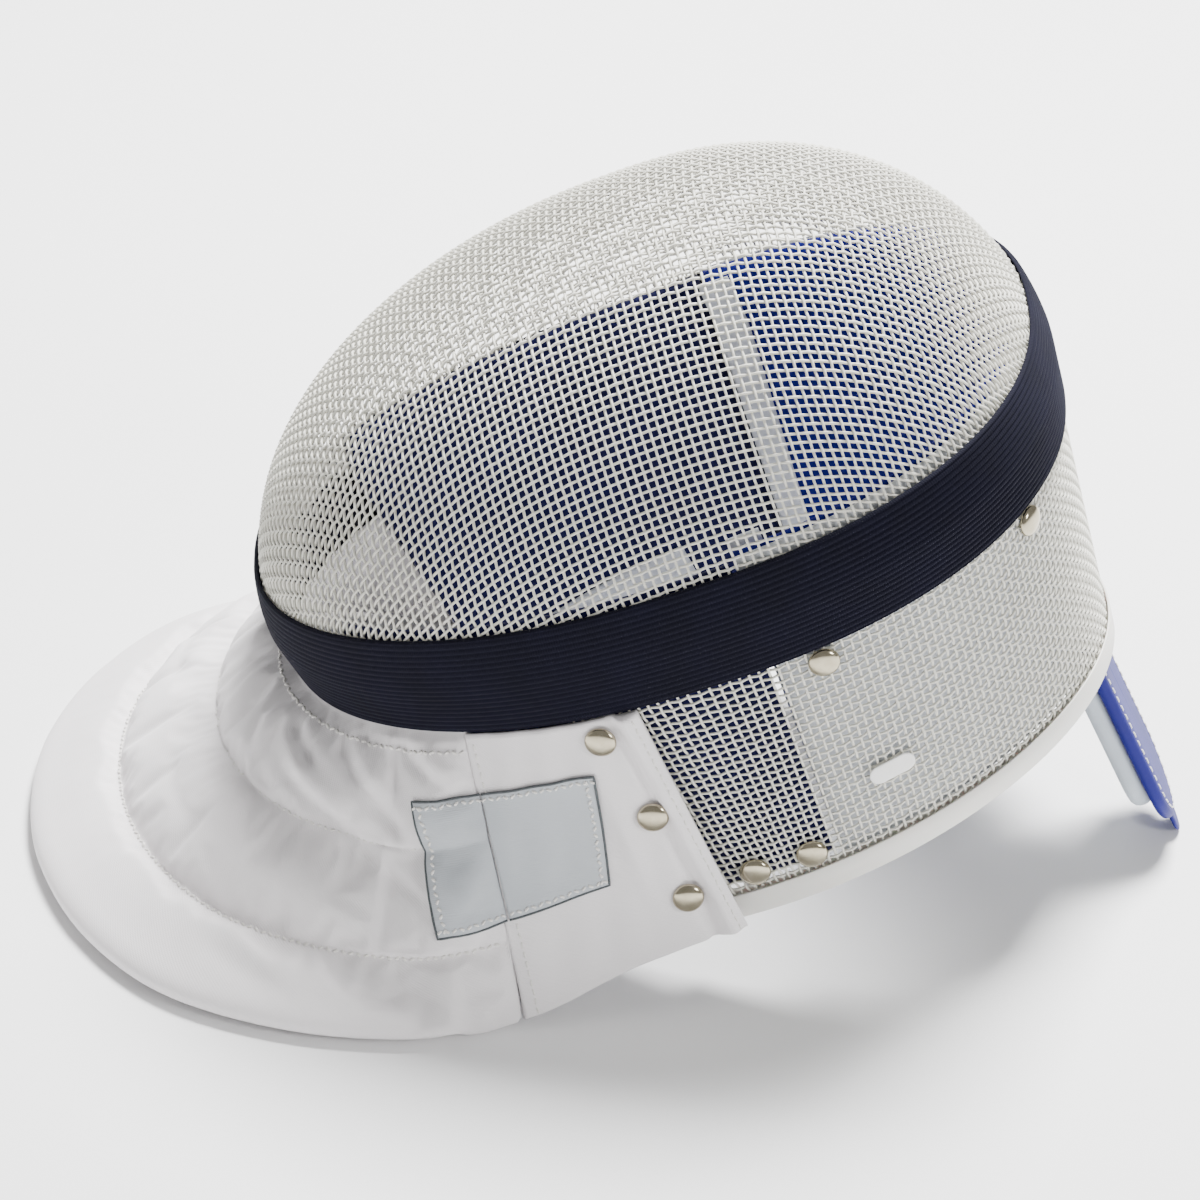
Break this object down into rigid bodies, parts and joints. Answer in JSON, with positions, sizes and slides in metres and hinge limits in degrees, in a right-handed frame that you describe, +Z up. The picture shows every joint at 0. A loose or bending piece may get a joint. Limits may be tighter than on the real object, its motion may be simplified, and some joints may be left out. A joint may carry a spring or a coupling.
{
  "type": "fencing mask",
  "caption": "Fencing mask with a white wire-mesh face, navy elastic band, quilted white bib and sprung rear tongue, lying on its back.",
  "frame": {"origin": "under the middle of the whole mask, on the surface it lies on", "axes": "+Z up, +X from the chin and bib towards the crown, -Y towards the wearer's left side"},
  "size_m": [0.4208, 0.274, 0.2647],
  "materials": {
    "mesh_wire": "satin",
    "trim": "satin",
    "band": "matte",
    "bib_cloth": "matte",
    "label": "satin",
    "patch": "satin",
    "rivet": "polished",
    "lining_navy": "matte",
    "lining_blue": "matte",
    "pad_back": "matte",
    "tongue_cover": "matte",
    "tongue_pad": "matte"
  },
  "bodies": {
    "root": {"front_mesh": "mesh_wire", "rear_mesh": "mesh_wire", "rim_trim": "trim", "elastic_band": "band", "bib": "bib_cloth", "bib_flap_left": "bib_cloth", "bib_flap_right": "bib_cloth", "label_front": "label", "label_turn": "label", "mesh_patch": "patch", "side_lining_left": "lining_navy", "side_lining_right": "lining_navy", "crown_pad": "lining_blue", "crown_pad_back": "pad_back", "pad_edge_tape_left": "pad_back", "pad_edge_tape_right": "pad_back", "tongue": "tongue_cover", "tongue_pad": "tongue_pad", "rivet_flap_top_left": "rivet", "rivet_flap_middle_left": "rivet", "rivet_flap_bottom_left": "rivet", "rivet_rim_front_left": "rivet", "rivet_rim_rear_left": "rivet", "rivet_band_side_left": "rivet", "rivet_band_crown_left": "rivet", "rivet_flap_top_right": "rivet", "rivet_flap_middle_right": "rivet", "rivet_flap_bottom_right": "rivet", "rivet_rim_front_right": "rivet", "rivet_rim_rear_right": "rivet", "rivet_band_side_right": "rivet", "rivet_band_crown_right": "rivet"}
  },
  "joints": []
}
